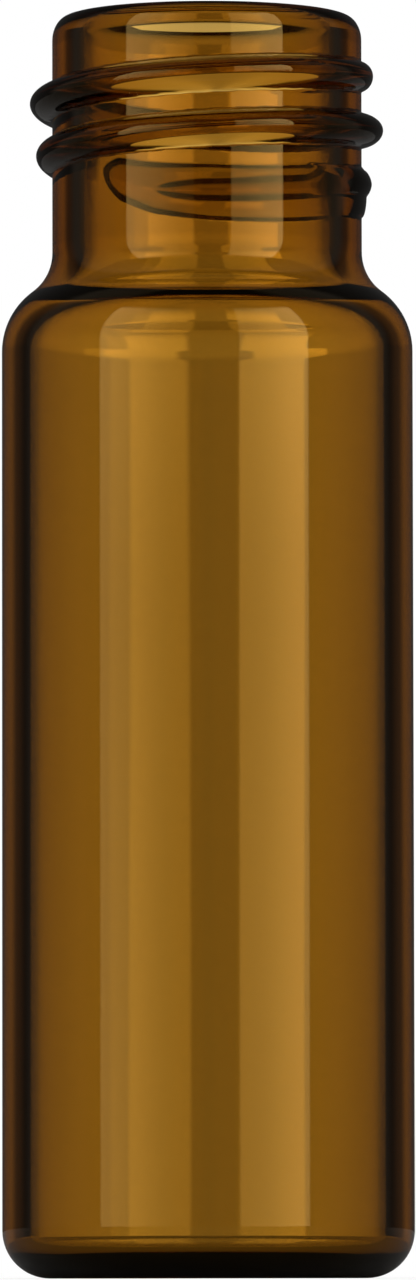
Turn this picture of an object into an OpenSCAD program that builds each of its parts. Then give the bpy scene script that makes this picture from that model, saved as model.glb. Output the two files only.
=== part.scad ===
// Screw-neck sample vial, drawn from amber glass tubing in one piece, open at the mouth.
// Millimetres, +Z up. The origin is on the vial's axis, on the surface it stands on.
// The section is built from true arcs and revolved; the thread is a helical bead on the neck.

/* [Body] */
// Overall height, from the standing ring to the rim
height = 45; // [35:1:70]
// Outside diameter of the tubing
body_d = 14.65; // [14:0.05:18]
// Wall thickness of the tubing
body_wall = 1; // [0.7:0.05:1.4]

/* [Base] */
// Thickness of the base, from the surface it stands on to the flat floor inside
base_t = 1.1; // [0.9:0.1:2.2]
// Outside radius between the wall and the base
heel_r = 1.7; // [1:0.1:2.2]
// Inside radius between the wall and the floor
floor_corner_r = 0.5; // [0.3:0.1:2]
// Height of the shallow dome under the base
push_up_h = 0.3; // [0.1:0.1:0.8]
// Width of the flat ring that the vial stands on
standing_ring_w = 0.8; // [0.4:0.1:1.6]

/* [Shoulder and neck] */
// Height of the shoulder and the neck together, from the end of the straight wall to the rim
finish_h = 12; // [10.5:0.5:18]
// Outside radius of the shoulder
shoulder_r = 2.6; // [1.6:0.1:3.2]
// Outside radius of the hollow between the shoulder and the neck
neck_foot_r = 1.8; // [0.8:0.1:2.4]
// Outside diameter of the neck, at the root of the thread
neck_d = 11.05; // [10.4:0.05:12.2]
// Diameter of the bore through the neck
mouth_d = 8.8; // [7.4:0.1:9.2]
// Outside radius of the rim
rim_r = 0.6; // [0.2:0.05:0.6]
// Inside radius of the rim
lip_r = 0.4; // [0.2:0.05:0.5]

/* [Thread] */
// Rise of the thread in one turn
thread_pitch = 1.92; // [1.6:0.02:2.2]
// Height of the bead above the neck where it is full
thread_depth = 0.8; // [0.4:0.05:1]
// Width of the bead at its foot
thread_w = 1.25; // [0.9:0.05:1.5]
// Distance from the rim down to the middle of the bead where it starts
thread_drop = 1.84; // [1.5:0.02:2.2]
// Angle that the bead turns through, from its start to its end
thread_sweep = 840; // [720:5:1080]
// Direction in which the bead starts, anticlockwise from +X seen from above
thread_start = 60; // [0:5:355]
// Angle over which the bead rises to its full height
thread_run_in = 120; // [60:5:180]
// Angle over which the bead sinks back into the neck, slowly at first and steeply at its end
thread_run_out = 450; // [120:10:520]

/* [Hidden] */
$fn = 128;

glass = [0.45, 0.25, 0.06, 0.75];

body_r = body_d / 2;
neck_r = neck_d / 2;
mouth_r = mouth_d / 2;
bore_r = body_r - body_wall;
neck_wall = neck_r - mouth_r;

// Top of the straight wall, where the shoulder starts
shoulder_z = height - finish_h;

// The dome under the base is a sphere through the inner edge of the standing ring
dome_edge_r = body_r - heel_r - standing_ring_w;
dome_r = (dome_edge_r * dome_edge_r + push_up_h * push_up_h) / (2 * push_up_h);
dome_z = push_up_h - dome_r;

// How far a cutting shape runs past the surface it cuts
slack = 1;

// How deep the bead is rooted in the neck's wall
bead_root = 0.3;
// How far the bead's crown dives below the neck's surface at both ends
bead_dive = 0.05;
// Angle between two sections along the bead, and between two points of its half-round section
bead_step = 8;
crown_step = 18;
bead_sections = ceil(thread_sweep / bead_step);

// The other leg of a right triangle
function height_over(hypotenuse, leg) = sqrt(hypotenuse * hypotenuse - leg * leg);

// Height of the bead's crown above the neck, at an angle from the bead's start: it rises evenly, and it
// sinks like the side of a parabola, so that the bead has a blunt end
function crown_h(angle) =
    let (
        left = max(0, thread_sweep - angle),
        full = min(1, angle / thread_run_in, sqrt(left / thread_run_out))
    )
    (thread_depth + bead_dive) * full - bead_dive;

// One section of the bead as [radius, height] pairs, from its upper root to its lower root: half an
// ellipse, as wide as the bead and as high as its crown, on two roots inside the wall
function bead_section(angle) =
    let (
        z = height - thread_drop - thread_pitch * angle / 360,
        low = neck_r - bead_dive,
        crown = crown_h(angle) + bead_dive,
        half_w = thread_w / 2
    )
    concat(
        [[neck_r - bead_root, z + half_w]],
        [for (a = [90 - crown_step:-crown_step:crown_step - 90]) [low + crown * cos(a), z + half_w * sin(a)]],
        [[neck_r - bead_root, z - half_w]]
    );

// Half-section of a round block that stands on the axis, with rounded lower and upper edges
module round_block(r, low, high, low_r, high_r) {
    difference() {
        translate([0, low])
            square([r, high - low]);
        edge_waste(r, low, low_r, 1);
        edge_waste(r, high, high_r, -1);
    }
}

// What a radius takes off a square edge at (r, z); up is 1 on a lower edge and -1 on an upper one
module edge_waste(r, z, edge_r, up) {
    if (edge_r > 0)
        difference() {
            translate([r - edge_r, up > 0 ? z - slack : z - edge_r])
                square([edge_r + slack, edge_r + slack]);
            translate([r - edge_r, z + up * edge_r])
                circle(r = edge_r);
        }
}

// Half-section of a wide block that narrows to a neck through two arcs which touch each other:
// the wide block's upper edge and the hollow at the neck's foot
module shouldered(wide, narrow, z, wide_r, hollow_r) {
    wide_x = wide - wide_r;
    hollow_x = narrow + hollow_r;
    hollow_z = z + height_over(wide_r + hollow_r, hollow_x - wide_x);
    translate([wide_x, z])
        circle(r = wide_r);
    difference() {
        polygon([[0, z], [wide_x, z], [hollow_x, hollow_z], [0, hollow_z]]);
        translate([hollow_x, hollow_z])
            circle(r = hollow_r);
    }
}

// Half-section of the vial's outside
module outside_section() {
    difference() {
        round_block(body_r, 0, shoulder_z, heel_r, 0);
        translate([0, dome_z])
            circle(r = dome_r);
    }
    shouldered(body_r, neck_r, shoulder_z, shoulder_r, neck_foot_r);
    round_block(neck_r, shoulder_z, height, 0, rim_r);
}

// Half-section of the hollow inside: the floor, the straight wall, the shoulder, the bore and the lip
module cavity_section() {
    round_block(bore_r, base_t, shoulder_z, floor_corner_r, 0);
    shouldered(bore_r, mouth_r, shoulder_z, shoulder_r - body_wall, neck_foot_r + neck_wall);
    round_block(mouth_r, shoulder_z, height + slack, 0, 0);
    difference() {
        translate([0, height - lip_r])
            square([mouth_r + lip_r, lip_r + slack]);
        translate([mouth_r + lip_r, height - lip_r])
            circle(r = lip_r);
    }
}

// Revolves the part of a half-section that lies on the positive side of the axis
module revolved() {
    rotate_extrude()
        intersection() {
            children();
            translate([0, -slack])
                square([body_r + slack, height + 3 * slack]);
        }
}

// The screw thread: a rounded bead that winds down the neck and runs out into it at both ends
module thread_bead() {
    points = [
        for (i = [0:bead_sections])
            let (angle = thread_sweep * i / bead_sections)
            for (p = bead_section(angle))
                [p.x * cos(thread_start - angle), p.x * sin(thread_start - angle), p.y]
    ];
    n = len(bead_section(0));
    sides = [
        for (i = [0:bead_sections - 1], j = [0:n - 1])
            let (
                a = i * n + j,
                b = i * n + (j + 1) % n
            )
            each [[a, b, a + n], [b, b + n, a + n]]
    ];
    first_end = [for (j = [n - 1:-1:0]) j];
    last_end = [for (j = [0:n - 1]) bead_sections * n + j];
    polyhedron(points, concat(sides, [first_end, last_end]));
}

// The whole vial, one piece of glass
module vial() {
    color(glass)
        difference() {
            union() {
                revolved()
                    outside_section();
                thread_bead();
            }
            revolved()
                cavity_section();
        }
}

vial();
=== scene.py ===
"""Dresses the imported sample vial, one piece of amber tubing glass with a rolled screw neck, in a studio."""
import logging
import math
from dataclasses import dataclass, field
from enum import Enum

import bmesh
import bpy
from mathutils import Matrix, Vector


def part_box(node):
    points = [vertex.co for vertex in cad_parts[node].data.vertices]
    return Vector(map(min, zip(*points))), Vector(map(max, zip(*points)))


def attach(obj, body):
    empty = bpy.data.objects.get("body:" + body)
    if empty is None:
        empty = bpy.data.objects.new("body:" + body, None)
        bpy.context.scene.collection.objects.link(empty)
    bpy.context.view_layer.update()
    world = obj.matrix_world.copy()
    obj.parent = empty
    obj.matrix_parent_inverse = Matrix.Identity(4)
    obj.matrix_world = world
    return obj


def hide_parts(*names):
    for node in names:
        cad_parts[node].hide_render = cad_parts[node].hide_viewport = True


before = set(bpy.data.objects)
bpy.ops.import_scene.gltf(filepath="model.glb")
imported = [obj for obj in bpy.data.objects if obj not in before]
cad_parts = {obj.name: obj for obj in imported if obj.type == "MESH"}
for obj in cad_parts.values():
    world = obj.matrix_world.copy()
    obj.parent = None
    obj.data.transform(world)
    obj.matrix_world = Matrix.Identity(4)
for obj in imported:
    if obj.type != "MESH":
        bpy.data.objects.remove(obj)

LOG = logging.getLogger("vial")
MM = 0.001
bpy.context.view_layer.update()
NODE = "vial"
BODY = "root"
WELD = 0.0005 * MM
BOUNCES = 32


class Side(Enum):
    """The side of the vial, seen from the front, that a panel of light stands on."""

    LEFT = -1
    RIGHT = 1


class Edge(Enum):
    """How a panel's light ends at one of its upright edges, as the angle over which it fades."""

    SHARP = math.radians(0.4)
    CRISP = math.radians(1.5)


class Bench:
    """A node tree with short calls that add nodes and join them."""

    def __init__(self, tree: bpy.types.NodeTree) -> None:
        """Empty a node tree and take hold of it.

        Args:
            tree: The node tree of a material or of the world.
        """
        self.tree = tree
        tree.nodes.clear()

    def add(self, kind: str, **settings: object) -> bpy.types.Node:
        """Add one node.

        Args:
            kind: The node's type name.
            settings: Properties of the node, by name.

        Returns:
            The new node.
        """
        node = self.tree.nodes.new(kind)
        for name, value in settings.items():
            setattr(node, name, value)
        return node

    def feed(self, source: object, target: bpy.types.NodeSocket) -> None:
        """Give an input socket its value.

        Args:
            source: An output socket, or a plain number, vector or colour.
            target: The input socket.
        """
        if isinstance(source, bpy.types.NodeSocket):
            self.tree.links.new(source, target)
        else:
            target.default_value = source

    def math(self, operation: str, *values: object) -> bpy.types.NodeSocket:
        """Work out one operation on numbers.

        Args:
            operation: The operation's name, as the Math node has it.
            values: Output sockets or plain numbers, in the node's order.

        Returns:
            The result's socket.
        """
        node = self.add("ShaderNodeMath", operation=operation)
        for value, target in zip(values, node.inputs):
            self.feed(value, target)
        return node.outputs[0]

    def ramp(self, value: object, start: float, end: float, low: float = 0.0,
             high: float = 1.0) -> bpy.types.NodeSocket:
        """Ease one range of numbers into another, and hold it at both ends.

        Args:
            value: The socket of the number.
            start: Where the range starts.
            end: Where the range ends, which may be below its start.
            low: The result at the start.
            high: The result at the end.

        Returns:
            The result's socket.
        """
        node = self.add("ShaderNodeMapRange", interpolation_type="SMOOTHSTEP")
        for name, number in zip(("From Min", "From Max", "To Min", "To Max"), (start, end, low, high)):
            node.inputs[name].default_value = number
        self.feed(value, node.inputs["Value"])
        return node.outputs["Result"]


@dataclass(frozen=True)
class AmberGlass:
    """Clear amber glass, coloured through its thickness, with the faint waves that drawing the tube leaves.

    The neck, which was worked in the flame, is a little deeper in colour than the tube.
    """

    name: str = "amber_glass"
    refraction: float = 1.52
    absorbed: tuple[float, float, float] = (0.667, 0.506, 0.0)
    density: float = 2550.0
    glint: tuple[float, float, float] = (1.0, 0.65, 0.2)
    roughness: float = 0.0
    clear: tuple[float, float, float, float] = (1.0, 0.985, 0.955, 1.0)
    warm: tuple[float, float, float, float] = (1.0, 0.995, 0.985, 1.0)
    draw_waves: float = 260.0
    draw_stretch: float = 0.06
    draw_depth: float = 0.012 * MM
    bloom_waves: float = 900.0
    wave_detail: float = 1.5
    struck: tuple[float, float, float, float] = (1.0, 0.96, 0.92, 1.0)
    struck_from: tuple[float, float] = (35.8 * MM, 37.0 * MM)

    def build(self) -> bpy.types.Material:
        """Make the material.

        Returns:
            The material, whose patterns lie on the piece's own coordinates.
        """
        material = bpy.data.materials.new(self.name)
        material.use_nodes = True
        bench = Bench(material.node_tree)
        output = bench.add("ShaderNodeOutputMaterial")
        shader = bench.add("ShaderNodeBsdfPrincipled")
        shader.inputs["Transmission Weight"].default_value = 1.0
        shader.inputs["IOR"].default_value = self.refraction
        shader.inputs["Roughness"].default_value = self.roughness
        shader.inputs["Specular Tint"].default_value = (*self.glint, 1.0)
        volume = bench.add("ShaderNodeVolumeAbsorption")
        volume.inputs["Color"].default_value = (*self.absorbed, 1.0)
        volume.inputs["Density"].default_value = self.density
        bench.feed(shader.outputs[0], output.inputs["Surface"])
        bench.feed(volume.outputs[0], output.inputs["Volume"])

        place = bench.add("ShaderNodeTexCoord").outputs["Object"]
        bloom = self._noise(bench, place, 1.0, self.bloom_waves)
        tint = bench.add("ShaderNodeMix", data_type="RGBA")
        bench.feed(bloom, tint.inputs["Factor"])
        bench.feed(self.clear, tint.inputs["A"])
        bench.feed(self.warm, tint.inputs["B"])
        rise = bench.add("ShaderNodeSeparateXYZ")
        bench.feed(place, rise.inputs[0])
        deep = bench.add("ShaderNodeMix", data_type="RGBA", blend_type="MULTIPLY")
        bench.feed(bench.ramp(rise.outputs["Z"], *self.struck_from), deep.inputs["Factor"])
        bench.feed(tint.outputs["Result"], deep.inputs["A"])
        bench.feed(self.struck, deep.inputs["B"])
        bench.feed(deep.outputs["Result"], shader.inputs["Base Color"])

        bump = bench.add("ShaderNodeBump")
        bump.inputs["Distance"].default_value = self.draw_depth
        bench.feed(self._noise(bench, place, self.draw_stretch, self.draw_waves), bump.inputs["Height"])
        bench.feed(bump.outputs[0], shader.inputs["Normal"])
        return material

    def _noise(self, bench: Bench, place: bpy.types.NodeSocket, stretch: float,
               waves: float) -> bpy.types.NodeSocket:
        """Lay a soft pattern on the glass.

        Args:
            bench: The material's nodes.
            place: The socket of the coordinates.
            stretch: The pattern's scale up the vial as a share of its scale across.
            waves: How many waves the pattern has in a metre.

        Returns:
            The pattern's socket.
        """
        mapping = bench.add("ShaderNodeMapping")
        mapping.inputs["Scale"].default_value = (1.0, 1.0, stretch)
        noise = bench.add("ShaderNodeTexNoise")
        noise.inputs["Scale"].default_value = waves
        noise.inputs["Detail"].default_value = self.wave_detail
        bench.feed(place, mapping.inputs["Vector"])
        bench.feed(mapping.outputs[0], noise.inputs["Vector"])
        return noise.outputs["Fac"]


class HalfSection:
    """A pen that draws the glass wall's half-section in the upright plane through the axis."""

    def __init__(self, radius: float, height: float) -> None:
        """Put the pen down.

        Args:
            radius: Distance of the first point from the axis.
            height: Height of the first point.
        """
        self.mesh = bmesh.new()
        self.tip = self.mesh.verts.new((radius, 0.0, height))

    def line_to(self, radius: float, height: float, pieces: int = 1) -> None:
        """Draw a straight stretch.

        Args:
            radius: Distance of its end from the axis.
            height: Height of its end.
            pieces: How many edges it is made of.
        """
        step = (Vector((radius, 0.0, height)) - self.tip.co) / pieces
        for _ in range(pieces):
            self.tip = bmesh.ops.extrude_vert_indiv(self.mesh, verts=[self.tip])["verts"][0]
            bmesh.ops.translate(self.mesh, vec=step, verts=[self.tip])

    def swing(self, centre: tuple[float, float], angle: float, pieces: int, stretch: float = 1.0) -> None:
        """Draw an arc, or a part of an upright ellipse.

        Args:
            centre: The arc's centre, as a distance from the axis and a height.
            angle: How far the pen turns, anticlockwise with the axis on the left.
            pieces: How many edges the arc is made of.
            stretch: The ellipse's height as a share of its width.
        """
        drawn = set(self.mesh.verts) - {self.tip}
        base = Matrix.Translation((0.0, 0.0, -centre[1]))
        bmesh.ops.scale(self.mesh, vec=(1.0, 1.0, 1.0 / stretch), space=base, verts=[self.tip])
        swung = bmesh.ops.spin(self.mesh, geom=[self.tip], cent=(centre[0], 0.0, centre[1]),
                               axis=(0.0, -1.0, 0.0), angle=angle, steps=pieces, use_merge=False)
        self.tip = next(item for item in swung["geom_last"] if isinstance(item, bmesh.types.BMVert))
        bmesh.ops.scale(self.mesh, vec=(1.0, 1.0, stretch), space=base,
                        verts=[vert for vert in self.mesh.verts if vert not in drawn])

    def revolve(self, steps: int) -> bmesh.types.BMesh:
        """Spin the drawn chain round the axis and close it.

        Args:
            steps: How many steps the full turn has.

        Returns:
            The closed shell, with its faces outwards.
        """
        mesh = self.mesh
        bmesh.ops.spin(mesh, geom=[*mesh.verts, *mesh.edges], cent=(0.0, 0.0, 0.0), axis=(0.0, 0.0, 1.0),
                       angle=math.tau, steps=steps, use_merge=True)
        bmesh.ops.remove_doubles(mesh, verts=mesh.verts, dist=WELD)
        bmesh.ops.recalc_face_normals(mesh, faces=mesh.faces)
        return mesh


def smooth_step(value: float, start: float, end: float) -> float:
    """Ease from 0 to 1 over a range.

    Args:
        value: The place in the range.
        start: Where the range starts.
        end: Where the range ends.

    Returns:
        The eased share.
    """
    share = min(max((value - start) / (end - start), 0.0), 1.0)
    return share * share * (3.0 - 2.0 * share)


def smooth_max(first: float, second: float, blend: float) -> float:
    """Take the larger of two heights, with a fillet where they meet.

    Args:
        first: One height.
        second: The other height.
        blend: How far apart the heights are where the fillet ends.

    Returns:
        The larger height, a little higher in the fillet.
    """
    near = max(blend - abs(first - second), 0.0)
    return max(first, second) + near * near / (4.0 * blend)


@dataclass(frozen=True)
class RolledBand:
    """A band that the roller leaves along the bead's last stretch, with a blunt nose and steep edges.

    Its stations give an angle along the bead, the band's upper and lower edge measured from the bead's
    middle line, and its height. Its height swells faster than its width behind the nose.
    """

    stations: tuple[tuple[float, float, float, float], ...]
    nose: float
    flatness: float
    end: float = math.radians(828)
    run_out: float = math.radians(45)
    swell: float = 1.3

    def lift(self, along: float, offset: float) -> float:
        """Work out how far one place on the band stands off the neck.

        Args:
            along: Angle along the bead from its start.
            offset: Height above the bead's middle line.

        Returns:
            The distance from the neck's surface to the band's.
        """
        if not self.stations[0][0] < along < self.end:
            return 0.0
        place = next((i for i, station in enumerate(self.stations[1:-1], 1) if along < station[0]),
                     len(self.stations) - 1)
        before, after = self.stations[place - 1:place + 1]
        share = (along - before[0]) / (after[0] - before[0])
        upper, lower, height = (a + (b - a) * share for a, b in zip(before[1:], after[1:]))
        nose = math.sqrt(min(1.0, (along - self.stations[0][0]) / self.nose))
        across = abs(offset - (upper + lower) / 2) / ((upper - lower) / 2 * nose)
        if across >= 1.0:
            return 0.0
        height *= math.sqrt(min(1.0, (self.end - along) / self.run_out)) * min(1.0, self.swell * nose)
        return height * math.sqrt(1.0 - across ** self.flatness)


@dataclass
class ScrewThread:
    """The rounded bead that winds down the neck, rises from it at its start and ends rolled flat."""

    top: float
    pitch: float = 1.92 * MM
    depth: float = 0.8 * MM
    width: float = 1.25 * MM
    drop: float = 1.84 * MM
    sweep: float = math.radians(840)
    start: float = math.radians(60)
    run_in: float = math.radians(120)
    run_out: float = math.radians(450)
    upper_fillet: float = 0.22 * MM
    lower_fillet: float = 0.12 * MM
    narrow_start: float = 0.3
    hand_over: tuple[float, float] = (math.radians(595), math.radians(629))
    blend: float = 0.03 * MM
    skirt: RolledBand = RolledBand(
        stations=((math.radians(633), 0.54 * MM, -0.72 * MM, 0.56 * MM),
                  (math.radians(666), 0.62 * MM, -1.18 * MM, 0.50 * MM),
                  (math.radians(690), 0.76 * MM, -1.24 * MM, 0.44 * MM),
                  (math.radians(742), 0.78 * MM, -1.22 * MM, 0.32 * MM),
                  (math.radians(780), 0.60 * MM, -1.20 * MM, 0.18 * MM)),
        nose=math.radians(13), flatness=2.2)
    ridge: RolledBand = RolledBand(
        stations=((math.radians(660), 0.14 * MM, -0.78 * MM, 0.79 * MM),
                  (math.radians(690), 0.34 * MM, -0.64 * MM, 0.78 * MM),
                  (math.radians(720), 0.48 * MM, -0.54 * MM, 0.70 * MM),
                  (math.radians(780), 0.52 * MM, -0.52 * MM, 0.36 * MM)),
        nose=math.radians(26), flatness=1.6)

    def bead_lift(self, along: float, height: float) -> float:
        """Work out how far one place on the bead stands off the neck.

        Args:
            along: Angle along the bead from its start.
            height: Height on the neck.

        Returns:
            The distance from the neck's surface to the bead's.
        """
        rising = min(1.0, along / self.run_in)
        full = min(rising, math.sqrt((self.sweep - along) / self.run_out))
        fillet = self.upper_fillet
        offset = height - (self.top - self.drop - self.pitch * along / math.tau)
        half_width = self.width / 2 * (1.0 - self.narrow_start * (1.0 - rising))
        if offset < 0.0:
            fillet = self.lower_fillet
        across = abs(offset) / half_width
        crown = (self.depth + fillet) * full
        body = crown * math.sqrt(1.0 - across * across) if across < 1.0 else -self.depth * (across - 1.0)
        round_bead = smooth_max(body - fillet * full, 0.0, fillet * full)
        round_bead *= 1.0 - smooth_step(along, *self.hand_over)
        skirt, ridge = self.skirt.lift(along, offset), self.ridge.lift(along, offset)
        flat_bead = smooth_max(skirt, ridge, self.blend) if max(skirt, ridge) > 0.0 else 0.0
        return max(round_bead, flat_bead)

    def lift(self, direction: float, height: float) -> float:
        """Work out how far the thread stands off the neck at one place.

        Args:
            direction: Direction from the axis, anticlockwise from +X seen from above.
            height: Height on the neck.

        Returns:
            The distance from the neck's surface to the thread's.
        """
        highest = 0.0
        along = (self.start - direction) % math.tau
        while along < self.sweep:
            if along > 0.0:
                highest = max(highest, self.bead_lift(along, height))
            along += math.tau
        return highest

    def raise_on(self, mesh: bmesh.types.BMesh, neck_r: float, low: float, high: float) -> None:
        """Push the neck's surface out into the thread.

        Args:
            mesh: The revolved vial.
            neck_r: Radius of the neck.
            low: Height where the straight neck starts.
            high: Height where the straight neck ends.
        """
        near = 0.001 * MM
        for vert in mesh.verts:
            radius = math.hypot(vert.co.x, vert.co.y)
            if abs(radius - neck_r) < near and low - near < vert.co.z < high + near:
                lift = self.lift(math.atan2(vert.co.y, vert.co.x), vert.co.z)
                vert.co.xy *= (radius + lift) / radius


@dataclass
class SampleVial:
    """The whole vial: base, straight wall, shoulder, neck with its thread, rim and bore."""

    body_r: float
    height: float
    wall: float = 1.0 * MM
    base_t: float = 1.1 * MM
    heel_r: float = 1.7 * MM
    floor_corner_r: float = 0.5 * MM
    push_up: float = 0.3 * MM
    standing_ring: float = 0.8 * MM
    finish_h: float = 12.0 * MM
    shoulder_r: float = 2.6 * MM
    neck_foot_r: float = 1.8 * MM
    neck_r: float = 5.525 * MM
    mouth_r: float = 4.4 * MM
    rim_r: float = 0.6 * MM
    rim_h: float = 0.85 * MM
    lip_r: float = 0.5 * MM
    lip_h: float = 0.8 * MM
    wall_ring: float = 1.2 * MM
    hold: float = 0.15 * MM
    thread_ring: float = 0.048 * MM
    turn_steps: int = 256
    finish: AmberGlass = field(default_factory=AmberGlass)

    def half_section(self) -> HalfSection:
        """Draw the wall's half-section, from the middle of the underside round to the middle of the floor.

        Returns:
            The drawn half-section.
        """
        shoulder_z = self.height - self.finish_h
        ring_x = self.body_r - self.heel_r
        dome_x = ring_x - self.standing_ring
        dome_r = (dome_x ** 2 + self.push_up ** 2) / (2 * self.push_up)
        dome_z = self.push_up - dome_r
        pen = HalfSection(0.0, self.push_up)
        pen.swing((0.0, dome_z), -math.asin(dome_x / dome_r), pieces=8)
        pen.line_to(ring_x, 0.0, pieces=2)
        pen.swing((ring_x, self.heel_r), math.pi / 2, pieces=16)
        self._upright(pen, self.body_r, shoulder_z)

        shoulder_x = self.body_r - self.shoulder_r
        foot_x = self.neck_r + self.neck_foot_r
        foot_z, turn = self._waist(shoulder_x, shoulder_z, foot_x, self.shoulder_r + self.neck_foot_r)
        pen.swing((shoulder_x, shoulder_z), turn, pieces=14)
        pen.swing((foot_x, foot_z), -turn, pieces=12)
        neck_top = self.height - self.rim_h
        pen.line_to(self.neck_r, neck_top, round((neck_top - foot_z) / self.thread_ring))
        pen.swing((self.neck_r - self.rim_r, neck_top), math.pi / 2, pieces=12,
                  stretch=self.rim_h / self.rim_r)
        pen.line_to(self.mouth_r + self.lip_r, self.height)
        pen.swing((self.mouth_r + self.lip_r, self.height - self.lip_h), math.pi / 2, pieces=12,
                  stretch=self.lip_h / self.lip_r)

        inner_r = self.shoulder_r - self.wall
        throat_r = self.neck_foot_r + self.neck_r - self.mouth_r
        throat_z, turn = self._waist(shoulder_x, shoulder_z, foot_x, inner_r + throat_r)
        self._upright(pen, self.mouth_r, throat_z)
        pen.swing((foot_x, throat_z), turn, pieces=14)
        pen.swing((shoulder_x, shoulder_z), -turn, pieces=12)

        corner_x = self.body_r - self.wall - self.floor_corner_r
        corner_z = self.base_t + self.floor_corner_r
        self._upright(pen, self.body_r - self.wall, corner_z)
        pen.swing((corner_x, corner_z), -math.pi / 2, pieces=12)
        pen.line_to(corner_x - self.hold, self.base_t)
        pen.line_to(0.0, self.base_t, pieces=3)
        return pen

    def _waist(self, shoulder_x: float, shoulder_z: float, foot_x: float,
               reach: float) -> tuple[float, float]:
        """Find where the shoulder's arc runs over into the hollow at the neck's foot.

        Args:
            shoulder_x: Distance of the shoulder's centre from the axis.
            shoulder_z: Height of the shoulder's centre.
            foot_x: Distance of the hollow's centre from the axis.
            reach: Distance between the two centres.

        Returns:
            The height of the hollow's centre, and the angle that both arcs turn through.
        """
        rise = math.sqrt(reach ** 2 - (foot_x - shoulder_x) ** 2)
        return shoulder_z + rise, math.atan2(rise, foot_x - shoulder_x)

    def _upright(self, pen: HalfSection, radius: float, height: float) -> None:
        """Draw a straight upright wall, with short edges at both ends that keep its shading straight.

        Args:
            pen: The half-section's pen, at the wall's start.
            radius: Distance of the wall from the axis.
            height: Height of the wall's other end.
        """
        start = pen.tip.co.z
        hold = math.copysign(self.hold, height - start)
        pen.line_to(radius, start + hold)
        pen.line_to(radius, height - hold, max(1, round(abs(height - start) / self.wall_ring)))
        pen.line_to(radius, height)

    def build(self) -> bpy.types.Object:
        """Build and dress the vial.

        Returns:
            The vial's object, with its place in its mesh.
        """
        shell = self.half_section().revolve(self.turn_steps)
        foot_z, _ = self._waist(self.body_r - self.shoulder_r, self.height - self.finish_h,
                                self.neck_r + self.neck_foot_r, self.shoulder_r + self.neck_foot_r)
        ScrewThread(self.height).raise_on(shell, self.neck_r, foot_z, self.height - self.rim_h)
        data = bpy.data.meshes.new("vial_glass")
        shell.to_mesh(data)
        shell.free()
        data.shade_smooth()
        data.materials.append(self.finish.build())
        piece = bpy.data.objects.new("vial_glass", data)
        bpy.context.scene.collection.objects.link(piece)
        return piece


@dataclass(frozen=True)
class LightPanel:
    """An upright panel of light, such as a softbox or a window, by the directions that it fills.

    Its bearings are measured to its own side, and it grows brighter with height.
    """

    side: Side
    inner: float
    outer: float
    inner_level: float
    outer_level: float
    edge: Edge
    top: float
    top_edge: float
    growth: tuple[float, float] = (math.radians(3.5), math.radians(5.5))
    gains: tuple[float, float] = (0.74, 1.08)

    def light(self, bench: Bench, bearing: bpy.types.NodeSocket,
              elevation: bpy.types.NodeSocket) -> bpy.types.NodeSocket:
        """Work out the panel's light by direction.

        Args:
            bench: The world's nodes.
            bearing: The socket of the angle from straight ahead or astern, which grows to the right.
            elevation: The socket of the angle above the floor.

        Returns:
            The socket of the panel's brightness.
        """
        away = bench.math("MULTIPLY", bearing, float(self.side.value))
        inside = bench.ramp(away, self.inner, self.inner + self.edge.value)
        outside = bench.ramp(away, self.outer, self.outer - self.edge.value)
        level = bench.ramp(away, self.inner, self.outer, self.inner_level, self.outer_level)
        below_top = bench.ramp(elevation, self.top, self.top - self.top_edge)
        shape = bench.math("MULTIPLY", bench.math("MULTIPLY", inside, outside), below_top)
        shape = bench.math("MULTIPLY", shape, bench.ramp(elevation, *self.growth, *self.gains))
        return bench.math("MULTIPLY", shape, level)


def softbox(side: Side, inner: float, outer: float, inner_level: float, outer_level: float) -> LightPanel:
    """Set up a tall softbox in front of the vial.

    Args:
        side: The side that it stands on.
        inner: Degrees from straight ahead to its inner edge.
        outer: Degrees from straight ahead to its outer edge.
        inner_level: Brightness at its inner edge.
        outer_level: Brightness at its outer edge.

    Returns:
        The softbox.
    """
    return LightPanel(side, math.radians(inner), math.radians(outer), inner_level, outer_level, Edge.CRISP,
                      top=math.radians(48), top_edge=math.radians(6))


def window(side: Side, inner: float, outer: float, inner_level: float, outer_level: float) -> LightPanel:
    """Set up a low window behind the vial.

    Args:
        side: The side that it stands on.
        inner: Degrees from straight astern to its inner edge.
        outer: Degrees from straight astern to its outer edge.
        inner_level: Brightness at its inner edge.
        outer_level: Brightness at its outer edge.

    Returns:
        The window.
    """
    return LightPanel(side, math.radians(inner), math.radians(outer), inner_level, outer_level, Edge.SHARP,
                      top=math.radians(17), top_edge=math.radians(8))


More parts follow.
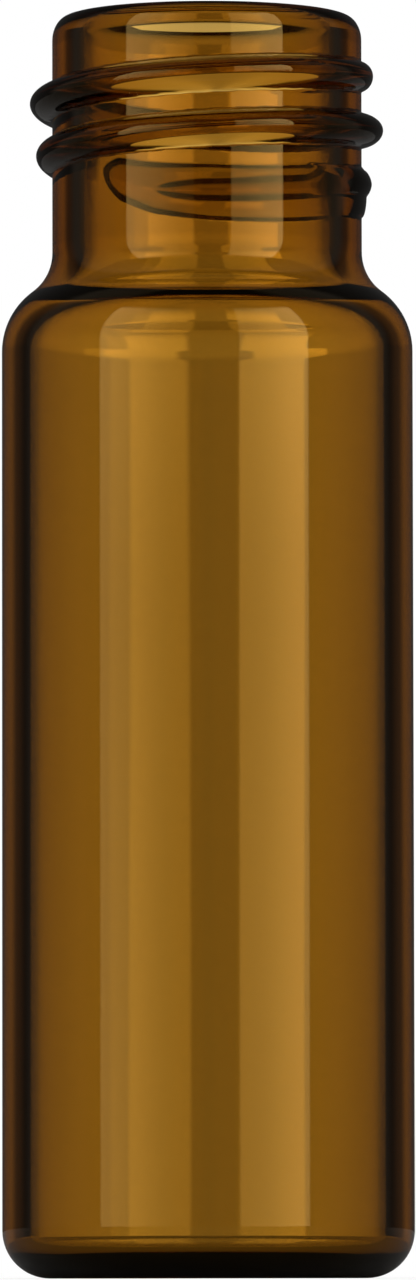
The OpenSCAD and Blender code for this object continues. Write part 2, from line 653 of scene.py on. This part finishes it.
@dataclass
class Surroundings:
    """The room round the vial, white to the camera, with softboxes in front and windows behind.

    Rays that the glass mirrors meet the softboxes, a weak light from both sides and little else. Rays
    that it lets through meet four lit walls with dark corners between them, and the windows too once they
    have gone through both sides of the vial. Behind the neck the windows are wider.
    """

    room: float = 1.0
    middle: float = 0.64
    flank: float = 1.1
    flank_start: float = math.radians(6)
    fade: tuple[float, float] = (math.radians(17), math.radians(30))
    haze: float = 0.28
    corner: float = 0.03
    haze_fade: tuple[float, float] = (math.radians(26), math.radians(44))
    bright_top: tuple[float, float] = (math.radians(5.1), math.radians(6.3))
    top_gain: float = 1.35
    mirror: float = 0.04
    side: float = 0.12
    side_start: tuple[float, float] = (math.radians(60), math.radians(80))
    side_end: tuple[float, float] = (math.radians(112), math.radians(126))
    softboxes: tuple[LightPanel, ...] = (
        softbox(Side.LEFT, 9, 63, 0.2, 2.4),
        softbox(Side.RIGHT, 17, 59, 1.3, 3.4),
    )
    windows: tuple[LightPanel, ...] = (
        window(Side.LEFT, 0.8, 5.2, 0.78, 1.25),
        window(Side.LEFT, 4.8, 7.2, 0.45, 0.45),
        window(Side.RIGHT, 1.5, 6.9, 0.8, 1.3),
    )
    surfaces_before_last: float = 3.0
    narrow: float = 0.66
    wide_from: tuple[float, float] = (math.radians(5.1), math.radians(5.6))
    wide_to: tuple[float, float] = (math.radians(7.2), math.radians(6.8))

    def build(self) -> None:
        """Make the world."""
        world = bpy.data.worlds.new("studio")
        world.use_nodes = True
        bpy.context.scene.world = world
        bench = Bench(world.node_tree)
        output = bench.add("ShaderNodeOutputWorld")
        split = bench.add("ShaderNodeSeparateXYZ")
        bench.feed(bench.add("ShaderNodeTexCoord").outputs["Generated"], split.inputs[0])
        x, y, z = split.outputs
        bearing = bench.math("ARCTAN2", x, bench.math("MULTIPLY", y, -1.0))
        elevation = bench.math("ARCSINE", z)

        path = bench.add("ShaderNodeLightPath").outputs
        through_both = bench.math("GREATER_THAN", path["Transmission Depth"], self.surfaces_before_last)
        mirrored = self._mirrored(bench, bearing, elevation)
        behind = self._seen_through(bench, bearing, elevation, through_both)
        level = self.room
        for ray, seen in (("Is Glossy Ray", mirrored), ("Is Transmission Ray", behind)):
            choice = bench.add("ShaderNodeMix", data_type="FLOAT")
            bench.feed(path[ray], choice.inputs["Factor"])
            bench.feed(level, choice.inputs["A"])
            bench.feed(seen, choice.inputs["B"])
            level = choice.outputs["Result"]
        light = bench.add("ShaderNodeBackground")
        light.inputs["Color"].default_value = (1.0, 1.0, 1.0, 1.0)
        bench.feed(level, light.inputs["Strength"])
        bench.feed(light.outputs[0], output.inputs["Surface"])

    def _mirrored(self, bench: Bench, bearing: bpy.types.NodeSocket,
                  elevation: bpy.types.NodeSocket) -> bpy.types.NodeSocket:
        """Work out the light that the glass mirrors.

        Args:
            bench: The world's nodes.
            bearing: The socket of the angle from the front, which grows to the right.
            elevation: The socket of the angle above the floor.

        Returns:
            The socket of the brightness.
        """
        apart = bench.math("ABSOLUTE", bearing)
        beside = bench.math("MULTIPLY", bench.ramp(apart, *self.side_start),
                            bench.ramp(apart, *self.side_end, self.side, 0.0))
        light = bench.math("ADD", beside, self.mirror)
        for panel in self.softboxes:
            light = bench.math("ADD", light, panel.light(bench, bearing, elevation))
        return light

    def _seen_through(self, bench: Bench, bearing: bpy.types.NodeSocket, elevation: bpy.types.NodeSocket,
                      through_both: bpy.types.NodeSocket) -> bpy.types.NodeSocket:
        """Work out the light that comes through the glass.

        Args:
            bench: The world's nodes.
            bearing: The socket of the angle from the front, which grows to the right.
            elevation: The socket of the angle above the floor.
            through_both: The socket that is 1 for a ray that has gone through both sides of the vial.

        Returns:
            The socket of the brightness.
        """
        aside = bench.math("PINGPONG", bearing, math.pi / 4)
        walls = bench.math("MULTIPLY", bench.ramp(aside, 0.0, self.flank_start, self.middle, self.flank),
                           bench.ramp(aside, *self.fade, 1.0, 0.0))
        light = bench.math("ADD", walls, bench.ramp(aside, *self.haze_fade, self.haze, self.corner))
        astern = self._astern(bench, bearing, elevation)
        for panel in self.windows:
            light = bench.math("MULTIPLY_ADD", panel.light(bench, astern, elevation), through_both, light)
        return bench.math("MULTIPLY", light, bench.ramp(elevation, *self.bright_top, 1.0, self.top_gain))

    def _astern(self, bench: Bench, bearing: bpy.types.NodeSocket,
                elevation: bpy.types.NodeSocket) -> bpy.types.NodeSocket:
        """Measure directions for the windows, from straight astern.

        Args:
            bench: The world's nodes.
            bearing: The socket of the angle from the front, which grows to the right.
            elevation: The socket of the angle above the floor.

        Returns:
            The socket of the angle from the back, which grows to the right.
        """
        turned = bench.math("SUBTRACT", math.pi, bench.math("ABSOLUTE", bearing))
        astern = bench.math("MULTIPLY", turned, bench.math("SIGN", bearing))
        wide = bench.math("MULTIPLY", bench.ramp(elevation, *self.wide_from),
                          bench.ramp(elevation, *self.wide_to))
        return bench.math("DIVIDE", astern, bench.math("MULTIPLY_ADD", wide, 1.0 - self.narrow, self.narrow))


@dataclass
class StudioFloor:
    """The pale floor, which takes the vial's shadow, and whose glow seen through the glass is painted darker
    near the vial, a painted shadow.
    """

    radius: float = 0.25
    corners: int = 96
    colour: tuple[float, float, float, float] = (0.9, 0.9, 0.9, 1.0)
    glow: float = 1.08
    share: float = 0.5
    # Painted shadow: the glow that the glass sees rises from the first level near the vial to the second far
    # away, between the two radii below.
    through: tuple[float, float] = (0.42, 1.3)
    shadow: tuple[float, float] = (20.0 * MM, 150.0 * MM)
    # Painted shade: the grey that the floor shows where the glass mirrors it, far darker than the floor's own
    # colour.
    mirrored_floor_painted_shade: tuple[float, float, float, float] = (0.12, 0.12, 0.12, 1.0)

    def build(self) -> bpy.types.Object:
        """Make the floor.

        Returns:
            The floor's object.
        """
        disc = bmesh.new()
        bmesh.ops.create_circle(disc, cap_ends=True, segments=self.corners, radius=self.radius)
        data = bpy.data.meshes.new("floor")
        disc.to_mesh(data)
        disc.free()
        data.materials.append(self.finish())
        floor = bpy.data.objects.new("floor", data)
        bpy.context.scene.collection.objects.link(floor)
        return floor

    def finish(self) -> bpy.types.Material:
        """Make the floor's material, lit by the room, with a glow for the camera, a glow through the glass
        with a painted shadow near the vial, and painted dark grey shade where the glass mirrors it.

        Returns:
            The material.
        """
        material = bpy.data.materials.new("floor")
        material.use_nodes = True
        bench = Bench(material.node_tree)
        output = bench.add("ShaderNodeOutputMaterial")
        path = bench.add("ShaderNodeLightPath").outputs
        matt = bench.add("ShaderNodeBsdfDiffuse")
        bench.feed(self.colour, matt.inputs["Color"])
        reach = bench.add("ShaderNodeVectorMath", operation="LENGTH")
        bench.feed(bench.add("ShaderNodeTexCoord").outputs["Object"], reach.inputs[0])
        glow = bench.add("ShaderNodeEmission")
        level = bench.add("ShaderNodeMix", data_type="FLOAT")
        bench.feed(path["Is Camera Ray"], level.inputs["Factor"])
        # Painted shadow in the glow through the glass: dimmer near the vial, by distance from the floor's
        # middle.
        bench.feed(bench.ramp(reach.outputs["Value"], *self.shadow, *self.through), level.inputs["A"])
        bench.feed(self.glow, level.inputs["B"])
        bench.feed(level.outputs["Result"], glow.inputs["Strength"])
        lit = bench.add("ShaderNodeMixShader")
        share = bench.math("MULTIPLY_ADD", path["Is Camera Ray"], self.share, path["Is Transmission Ray"])
        bench.feed(share, lit.inputs["Fac"])
        bench.feed(matt.outputs[0], lit.inputs[1])
        bench.feed(glow.outputs[0], lit.inputs[2])
        # Painted shade: rays that the glass mirrors see the floor dark grey.
        dark = bench.add("ShaderNodeBsdfDiffuse")
        bench.feed(self.mirrored_floor_painted_shade, dark.inputs["Color"])
        mix = bench.add("ShaderNodeMixShader")
        mirrored = bench.math("SUBTRACT", path["Is Glossy Ray"], path["Is Transmission Ray"])
        bench.feed(mirrored, mix.inputs["Fac"])
        bench.feed(lit.outputs[0], mix.inputs[1])
        bench.feed(dark.outputs[0], mix.inputs[2])
        bench.feed(mix.outputs[0], output.inputs["Surface"])
        return material


@dataclass
class Viewpoint:
    """The camera, close to the floor in front of the vial and tilted up a little."""

    distance: float = 0.375
    height: float = 0.2 * MM
    aside: float = -0.024 * MM
    tilt: float = math.radians(3.4335)
    roll: float = math.radians(0.09)
    lens: float = 296.58
    sensor: float = 36.0
    clip: float = 0.01

    def build(self) -> bpy.types.Object:
        """Make the camera and look through it.

        Returns:
            The camera's object.
        """
        data = bpy.data.cameras.new("camera")
        data.lens = self.lens
        data.sensor_width = self.sensor
        data.clip_start = self.clip
        camera = bpy.data.objects.new("camera", data)
        camera.location = (self.aside, -self.distance, self.height)
        camera.rotation_euler = (math.pi / 2 + self.tilt, self.roll, 0.0)
        bpy.context.scene.collection.objects.link(camera)
        bpy.context.scene.camera = camera
        return camera


def main() -> None:
    """Build the camera, the vial and the studio round it, in that order."""
    logging.basicConfig(level=logging.INFO, format="%(name)s: %(message)s")
    scene = bpy.context.scene
    scene.view_settings.view_transform = "Standard"
    scene.cycles.max_bounces = BOUNCES
    scene.cycles.transmission_bounces = BOUNCES

    LOG.info("camera %s", Viewpoint().build().name)

    _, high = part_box(NODE)
    vial = SampleVial(body_r=high[0], height=high[2]).build()
    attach(vial, BODY)
    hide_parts(NODE)
    LOG.info("piece %s, %d faces", vial.name, len(vial.data.polygons))

    floor = StudioFloor().build()
    LOG.info("stage %s", floor.name)
    Surroundings().build()


if __name__ == "__main__":
    main()
